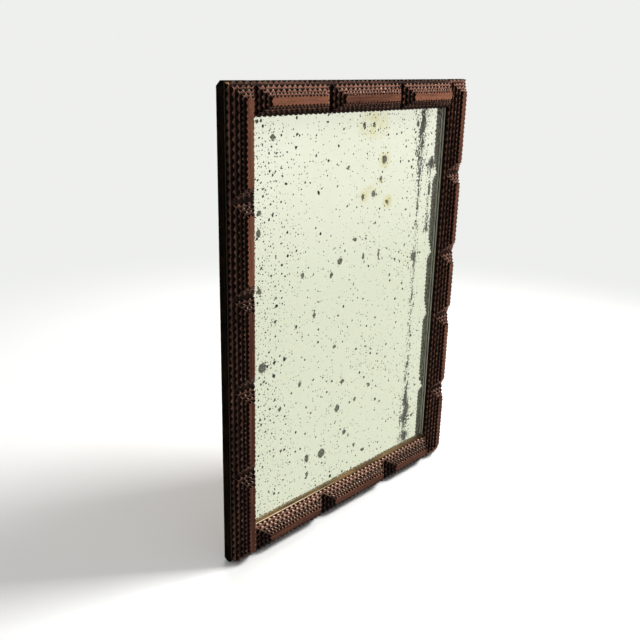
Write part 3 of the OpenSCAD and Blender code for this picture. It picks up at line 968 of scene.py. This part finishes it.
# %% Plain boards
GRID_STEP = 14 * MM
PLAIN = {"Tip flat": 1.4 * MM, "Tip wear": 0.12 * MM, "Tone": 0.5, "Rub and highlight": 1.0,
         "Outer cover": 1.0, "Sight cover": 1.0, "End cover": 1.0}
NONE_ON_BOARDS = ("Outer notch", "Sight notch", "End notch", "Sight from", "Wander", "Chip share",
                  "Chip depth", "Low corner wear", "High corner wear", "Sight light and shade", "Low end shade",
                  "High end light", "Outer shade")


def board_values(side, low, high, seed, wood, arris):
    """Input values of a plain board with eased edges."""
    values = lie(side, low, high)
    values.update(PLAIN)
    values.update({label: 0.0 for label in NONE_ON_BOARDS})
    values.update({
        "Long teeth": max(2, round(values["Length"] / GRID_STEP)),
        "End teeth": max(2, round(values["Width"] / GRID_STEP)),
        "Sight to": values["Length"], "Front arris": arris, "Rear arris": arris,
        "Seed": seed, "Wood": wood})
    return values


for number, side in enumerate(SIDES):
    node = f"{side}_base_board"
    values = board_values(side, *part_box(node), seed=31 + number, wood=lip_wood, arris=0.3 * MM)
    if side == "bottom":
        values["Low corner wear"] = WORN_CORNERS["left"]["Low corner wear"]
    piece = joined(f"{side}_base_planed", [grown(node, values)])
    hand_over(piece, node)
values = board_values("left", *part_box("backboard"), seed=41, wood=back_wood, arris=0.3 * MM)
piece = joined("backboard_sawn", [grown("backboard", values)])
hand_over(piece, "backboard")
print("last board:", piece.name, len(piece.data.polygons), "faces")

# %% [markdown]
# The nails of the battens are driven a little below the surface, so each one sits in a small pit, and
# the ends of the side battens are bevelled towards the wall. One boolean for each batten cuts both: a
# cutter with a cylinder at each CAD nail and a wedge at each bevelled end.


# %% Cutters for the battens
FACE_WALL = Matrix.Rotation(math.radians(90), 3, "X")
BEVEL_DEPTH, TOP_BEVEL, BOTTOM_BEVEL = 7.5 * MM, 6.5 * MM, 3.0 * MM
PIT_ROOM, DRILL_LENGTH, DRILL_OUT = 0.05 * MM, 4 * MM, 1 * MM
WEDGE_PAST, WEDGE_OVER = 0.4, 5 * MM


def drill(mesh, low, high):
    """Adds a short cylinder over the box of a nail, reaching out of the rear face."""
    radius, middle = (high.x - low.x) / 2 + PIT_ROOM, (low + high) / 2
    ring = bmesh.ops.create_cone(mesh, cap_ends=True, segments=24, radius1=radius, radius2=radius,
                                 depth=DRILL_LENGTH)["verts"]
    bmesh.ops.rotate(mesh, verts=ring, cent=(0, 0, 0), matrix=FACE_WALL)
    bmesh.ops.translate(mesh, verts=ring, vec=(middle.x, high.y + DRILL_OUT, middle.z))


def wedge(mesh, end, rise):
    """Adds a prism across the frame that cuts a bevel at this height. A negative rise bevels upwards."""
    half, whole = cad_high.x + WEDGE_OVER, 1 + WEDGE_PAST
    behind, past = WEDGE_PAST * BEVEL_DEPTH, end + WEDGE_PAST * rise
    corners = [(-whole * BEVEL_DEPTH, past), (behind, end - whole * rise), (behind, past)]
    left, right = ([mesh.verts.new((x, y, z)) for y, z in corners] for x in (-half, half))
    faces = [mesh.faces.new(left), mesh.faces.new(right)]
    for a, b in ((0, 1), (1, 2), (2, 0)):
        faces.append(mesh.faces.new((left[a], left[b], right[b], right[a])))
    bmesh.ops.recalc_face_normals(mesh, faces=faces)


cutters = bmesh.new()
for low, high in solids("batten_nails"):
    drill(cutters, low, high)
wedge(cutters, cad_high.z, TOP_BEVEL)
wedge(cutters, cad_low.z, -BOTTOM_BEVEL)
pits = bpy.data.objects.new("cutters", bpy.data.meshes.new("cutters"))
cutters.to_mesh(pits.data)
cutters.free()
bpy.context.scene.collection.objects.link(pits)
print("cutter faces:", len(pits.data.polygons))

# %% Battens with nail pits and bevels
for number, side in enumerate(SIDES):
    node = f"{side}_batten"
    values = board_values(side, *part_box(node), seed=51 + number, wood=batten_wood, arris=0.5 * MM)
    piece = joined(f"{side}_batten_planed", [grown(node, values)])
    cut = piece.modifiers.new("pits", "BOOLEAN")
    cut.object, cut.solver = pits, "EXACT"
    graph = bpy.context.evaluated_depsgraph_get()
    drilled = bpy.data.meshes.new_from_object(piece.evaluated_get(graph))
    piece.modifiers.clear()
    piece.data = drilled
    hand_over(piece, node)
    print(piece.name, len(piece.data.polygons), "faces")
bpy.data.objects.remove(pits)

# %% [markdown]
# ## The old glass
# A mirror of this age is a sheet of glass with silver on its back. Damp creeps in behind it and eats
# the silver: first tiny dark dots, then grey blots with dark rims, and long streaks where something
# rubbed. Where silver is left the material is a metal with a creamy tint. Where it is gone one looks
# through plain glass at dark board, so the material is dark and not metallic. The spots could be a
# painted picture, but cells and noise make them at any size, and only the few large blots are placed.


# %% Fox spots
def spots_group():
    tree, given, end = new_group(
        "Fox spots", "ShaderNodeTree",
        [("Place", "Vector"), ("Scale", "Float"), ("Radius", "Float"), ("Density", "Float")],
        [("Spot", "Float")])
    push = wobble(given["Place"], given["Scale"] * 3, 2).scaled(0.35 / given["Scale"])
    distance, luck, share = scattered(given["Place"].vector("ADD", push), given["Scale"])
    size = (share * share * 0.6 + 0.4) * given["Radius"]
    plug(distance.step(size, size * 0.55) * luck.under(given["Density"]), end.inputs["Spot"])
    return tree


SPOTS = spots_group()
print(SPOTS.name, "has", len(SPOTS.nodes), "nodes")


# %% Blots and streaks
def blot_group():
    tree, given, end = new_group(
        "Silver blot", "ShaderNodeTree",
        [("Place", "Vector"), ("Centre", "Vector"), ("Half width", "Float"), ("Half height", "Float")],
        [("Distance", "Float")])
    across, up, _ = parts_of(given["Place"].vector("SUBTRACT", given["Centre"]))
    across, up = across / given["Half width"], up / given["Half height"]
    plug((across * across + up * up).math("SQRT"), end.inputs["Distance"])
    return tree


def streak_group():
    tree, given, end = new_group(
        "Rubbed streak", "ShaderNodeTree",
        [("Place", "Vector"), ("Centre", "Float"), ("Half width", "Float"),
         ("Low", "Float"), ("High", "Float")],
        [("Worn", "Float"), ("Near", "Float")])
    x, z, _ = parts_of(given["Place"])
    bend = (noise(given["Place"].vector("MULTIPLY", (0, 9, 0)), 1, 2) - 0.5) * 8 * MM
    along = (z - given["Low"]) / (given["High"] - given["Low"])
    ends = (along - 0.5).size().step(0.2, 0.42)
    off = ((x - given["Centre"] - bend) / (given["Half width"] * (ends * 0.5 + 0.5))).size()
    inside = z.step(given["Low"], given["Low"] + 8 * MM) * z.step(given["High"], given["High"] - 8 * MM)
    lumps = noise(given["Place"].vector("MULTIPLY", (170, 55, 0)), 1, 2)
    specks = noise(given["Place"].vector("MULTIPLY", (520, 300, 0)), 1, 2)
    solid = (lumps - 0.5) * 2.2 + (specks - 0.5) * 2.8 + ends * 0.32 - off * 0.5 + 0.06
    plug(solid.step(0.0, 0.08) * inside, end.inputs["Worn"])
    plug(off.step(4.0, 0.0) * inside, end.inputs["Near"])
    return tree


BLOT, STREAK = blot_group(), streak_group()
print(BLOT.name, "and", STREAK.name)

# %% [markdown]
# The large blots and the yellowed patches are placed from the photograph: millimetres right of
# the frame's middle and up from the middle of its top batten, then half the width and half the height.
# A streak has its middle, half its width, and its lower and upper end.

# %% Marks placed one by one
BLOTS_MM = [
    (-170, -330, 7, 7), (-175, -131, 4, 4), (-176, -155, 4, 5), (-153, -44, 4, 4),
    (-178, -25, 2, 3), (-172, -25, 2, 2),
    (-18, -90, 3, 3), (56, -85, 5, 6), (11, -38, 3, 5), (31, -38, 3, 4), (50, -110, 3, 3),
    (35, -130, 4, 5), (13, -132, 3, 4), (66, -144, 3, 3), (0, -188, 4, 3), (-29, -214, 5, 5),
    (19, -215, 3, 4), (52, -217, 2, 8), (-45, -230, 3, 4), (-100, -221, 3, 4), (-175, -228, 4, 4),
    (-77, -280, 3, 4), (135, -234, 7, 7), (-102, -372, 3, 4), (-16, -393, 4, 4), (-25, -432, 5, 6),
    (13, -429, 3, 3), (-8, -476, 4, 4), (-56, -493, 7, 7), (-86, -490, 4, 6), (-85, -516, 3, 4),
    (15, -505, 3, 3), (36, -521, 4, 3), (-35, -335, 3, 3), (44, -416, 3, 3), (-139, -397, 3, 3),
    (141, -40, 5, 11), (135, -54, 3, 10), (127, -40, 3, 4), (166, -97, 4, 10), (164, -136, 3, 9),
    (138, -468, 4, 12), (141, -488, 6, 10), (134, -503, 3, 6)]
YELLOWED_MM = [(30, -36, 12, 7), (56, -85, 5, 6), (24, -131, 9, 5), (66, -144, 4, 4), (50, -110, 3, 3)]
STREAKS_MM = [(138, 9, -548, -16), (163, 8, -205, -88)]
DOTS = ((210.0, 0.27, 0.75), (100.0, 0.24, 0.65), (52.0, 0.16, 0.5))


def nearest(place_on, marks):
    """How far the nearest of these marks is, where its own edge is 1."""
    distances = (out(use_group(place_on.tree, BLOT, Place=place_on, Centre=(across * MM, up * MM, 0),
                               Half_width=half_width * MM, Half_height=half_height * MM))
                 for across, up, half_width, half_height in marks)
    return reduce(Wire.least, distances)


def streaked(place_on):
    """Masks of the streaks: where the silver is worn away, and what lies near."""
    streaks = [use_group(place_on.tree, STREAK, Place=place_on, Centre=centre * MM,
                         Half_width=half_width * MM, Low=low * MM, High=high * MM)
               for centre, half_width, low, high in STREAKS_MM]
    return (reduce(Wire.most, [out(streak, name) for streak in streaks]) for name in ("Worn", "Near"))


print("marks placed by eye:", len(BLOTS_MM + YELLOWED_MM + STREAKS_MM))


# %% Mirror material
def lost_silver(place_on, x):
    """Masks of the lost silver: dots, blots, their rims, streaks and yellowed patches."""
    bent = place_on.vector("ADD", wobble(place_on, 380, 4).scaled(7 * MM))
    blot, yellowed = nearest(bent, BLOTS_MM), nearest(bent, YELLOWED_MM)
    worn, near = streaked(place_on)
    crowd = (x.step(-0.10, -0.18) * 0.8 + near * 0.8 + blot.step(3.6, 1.0) * 0.3
             + noise(place_on, 11, 3).step(0.45, 0.7) * 0.4 + 0.3)
    dots = reduce(Wire.most, (
        out(use_group(x.tree, SPOTS, Place=place_on, Scale=scale, Radius=radius, Density=crowd * share))
        for scale, radius, share in DOTS))
    rim = blot.step(1.1, 0.95) * blot.step(0.5, 0.95)
    return dots, blot.step(1.05, 0.85), rim, worn, yellowed.step(3.6, 1.0)


def mirror_material():
    material, tree, shader = new_material("foxed_mirror")
    x, z, point = across_frame(tree)
    place_on = out(add(tree, "ShaderNodeCombineXYZ", X=x, Y=z))
    dots, blot, rim, worn, yellowed = lost_silver(place_on, x)
    mottle = noise(place_on, 420, 3)
    rubbed_sides = x.step(-0.10, -0.19).most(x.step(0.125, 0.155))
    scratch = noise(place_on.vector("MULTIPLY", (900, 16, 0)), 1, 1).step(0.68, 0.76) * rubbed_sides
    silver = mixed(noise(place_on, 5, 3), screen(240, 242, 228), screen(228, 231, 208))
    # Painted reflection: the silver is darker and yellower towards the bottom.
    silver = mixed(z.step(-0.06, -0.28) * 0.8, silver, screen(217, 222, 198))
    silver = mixed(noise(place_on, 45, 4).step(0.3, 0.7) * yellowed * 0.75, silver, screen(214, 204, 142))
    silver = mixed(scratch * 0.4, silver, screen(150, 152, 140))
    bare = mixed(mottle, screen(12, 12, 10), screen(44, 44, 38))
    clouded = mixed(mottle.step(0.35, 0.65), screen(62, 62, 54), screen(120, 120, 106))
    colour = mixed(dots, silver, bare)
    colour = mixed(blot, colour, clouded)
    colour = mixed(rim * 0.5, colour, screen(34, 34, 28))
    colour = mixed(worn, colour, mixed(mottle, screen(36, 37, 34), screen(92, 94, 86)))
    lost = dots.most(blot).most(rim).most(worn)
    plug(colour, shader.inputs["Base Color"])
    plug(0.88 - lost * 0.78, shader.inputs["Metallic"])
    plug(lost * 0.2 + noise(place_on, 30, 2) * 0.03 + 0.01, shader.inputs["Roughness"])
    shader.inputs["Specular IOR Level"].default_value = 0.08
    return material


def dress(node, material):
    """Gives a CAD node a material of its own."""
    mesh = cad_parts[node].data
    mesh.materials.clear()
    mesh.materials.append(material)


dress("mirror_glass", mirror_material())
print("material of the glass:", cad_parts["mirror_glass"].data.materials[0].name)

# %% [markdown]
# ## Iron and brass
# The nails, brads and sprigs are iron wire that has rusted under its dark skin. The screw eyes are
# brass, dull brown where air has darkened it and still yellow where a cord rubs. Both are noise over
# two or three colours, since no one piece is near enough to need more.


# %% Metals
def old_metal(name, skin, patch, bright, metallic, roughness):
    """Metal under a patchy skin."""
    material, tree, shader = new_material(name)
    _, _, point = across_frame(tree)
    patches, specks = noise(point, 350, 4), noise(point, 1500, 3)
    colour = mixed(patches.step(0.45, 0.6), skin, patch)
    colour = mixed(specks.step(0.58, 0.7) * 0.7, colour, bright)
    plug(colour, shader.inputs["Base Color"])
    plug(patches.step(0.6, 0.45) * metallic, shader.inputs["Metallic"])
    plug(patches * 0.4 + roughness, shader.inputs["Roughness"])
    plug(bumped(specks, 0.4, 0.2 * MM), shader.inputs["Normal"])
    return material


iron = old_metal("old_iron", screen(66, 60, 56), screen(104, 62, 40), screen(128, 118, 108), 0.8, 0.3)
brass = old_metal("old_brass", screen(154, 120, 58), screen(104, 78, 40), screen(206, 172, 98), 0.95, 0.2)
for node in ("stack_brads", "batten_nails", "backboard_sprigs"):
    dress(node, iron)
for node in ("left_screw_eye", "right_screw_eye"):
    dress(node, brass)
print("metals:", iron.name, brass.name)

# %% [markdown]
# ## Stage and light
# The floor is pale and the light is soft, from above and a little to the right, as in the photograph.
# The mirror shows whatever is in front of it, so the floor and the world look pale to mirror rays too,
# while the light that they give stays at a plain level.

# %% Floor
PALE = (0.86, 0.87, 0.85, 1.0)
BRIGHT = (0.98, 0.985, 0.965, 1.0)


def mirror_rays(tree):
    """1 for rays that look at the stage in a mirror, and 0 for lighting rays and for direct looks."""
    path = add(tree, "ShaderNodeLightPath")
    looks = out(path, "Is Glossy Ray").most(out(path, "Is Transmission Ray"))
    return looks * out(path, "Diffuse Depth").under(0.5)


def pale_floor():
    material, tree, shader = new_material("pale_floor")
    place_on_floor = out(add(tree, "ShaderNodeTexCoord"), "Object")
    tone = noise(place_on_floor, 3, 2)
    plug(mixed(tone, (0.78, 0.78, 0.77, 1), (0.82, 0.82, 0.81, 1)), shader.inputs["Base Color"])
    shader.inputs["Roughness"].default_value = 0.9
    mirrored = mirror_rays(tree)
    glow = add(tree, "ShaderNodeEmission", Color=mixed(mirrored, PALE, BRIGHT), Strength=1.0)
    far = out(add(tree, "ShaderNodeVectorMath", {"operation": "LENGTH"}, (place_on_floor,)), "Value")
    looked_at = out(add(tree, "ShaderNodeLightPath"), "Is Camera Ray")
    even = mirrored.most(far.step(0.5, 1.6) * looked_at)
    both = add(tree, "ShaderNodeMixShader", values=(even, Wire(shader.outputs[0]), out(glow)))
    plug(out(both), tree.nodes["Material Output"].inputs["Surface"])
    return material


FLOOR_SIZE, FLOOR_GAP = 60, 0.2 * MM
bpy.ops.mesh.primitive_plane_add(size=FLOOR_SIZE, location=(0, 0, cad_low.z - FLOOR_GAP))
floor = bpy.context.object
floor.name = "floor"
floor.data.materials.append(pale_floor())
print("floor at", round(floor.location.z, 4), "m")

# %% World
world = bpy.data.worlds.new("pale_room")
bpy.context.scene.world = world
world.use_nodes = True
sky = world.node_tree
sky.nodes.clear()
to_right, _, to_top = parts_of(out(add(sky, "ShaderNodeTexCoord"), "Generated"))
brighter = (to_right * 0.6 + to_top * 0.8).step(-0.7, 0.9)
lit = add(sky, "ShaderNodeBackground", Color=(1.0, 0.99, 0.97, 1), Strength=brighter * 0.5 + 0.08)
mirrored = mirror_rays(sky)
direct = out(add(sky, "ShaderNodeLightPath"), "Is Camera Ray")
looked_at = add(sky, "ShaderNodeBackground", Color=mixed(mirrored, PALE, BRIGHT), Strength=1.0)
both = add(sky, "ShaderNodeMixShader", values=(mirrored.most(direct), out(lit), out(looked_at)))
plug(out(both), add(sky, "ShaderNodeOutputWorld").inputs["Surface"])
print(world.name, "has", len(sky.nodes), "nodes")


# %% Lamps
def soft_lamp(name, place_at, aim_at, watts, size):
    light = bpy.data.lights.new(name, "AREA")
    light.energy, light.size = watts, size
    lamp = bpy.data.objects.new(name, light)
    lamp.location = place_at
    lamp.rotation_euler = (Vector(aim_at) - Vector(place_at)).to_track_quat("-Z", "Y").to_euler()
    bpy.context.scene.collection.objects.link(lamp)


MIDDLE = (cad_low + cad_high) / 2
soft_lamp("key_lamp", (1.25, -0.8, 1.15), MIDDLE, watts=66, size=0.6)
soft_lamp("back_lamp", (1.4, 1.8, 1.2), MIDDLE, watts=30, size=1.2)
bpy.context.scene.view_settings.view_transform = "Standard"
print("lamps aim at", [round(v, 3) for v in MIDDLE])

# %% [markdown]
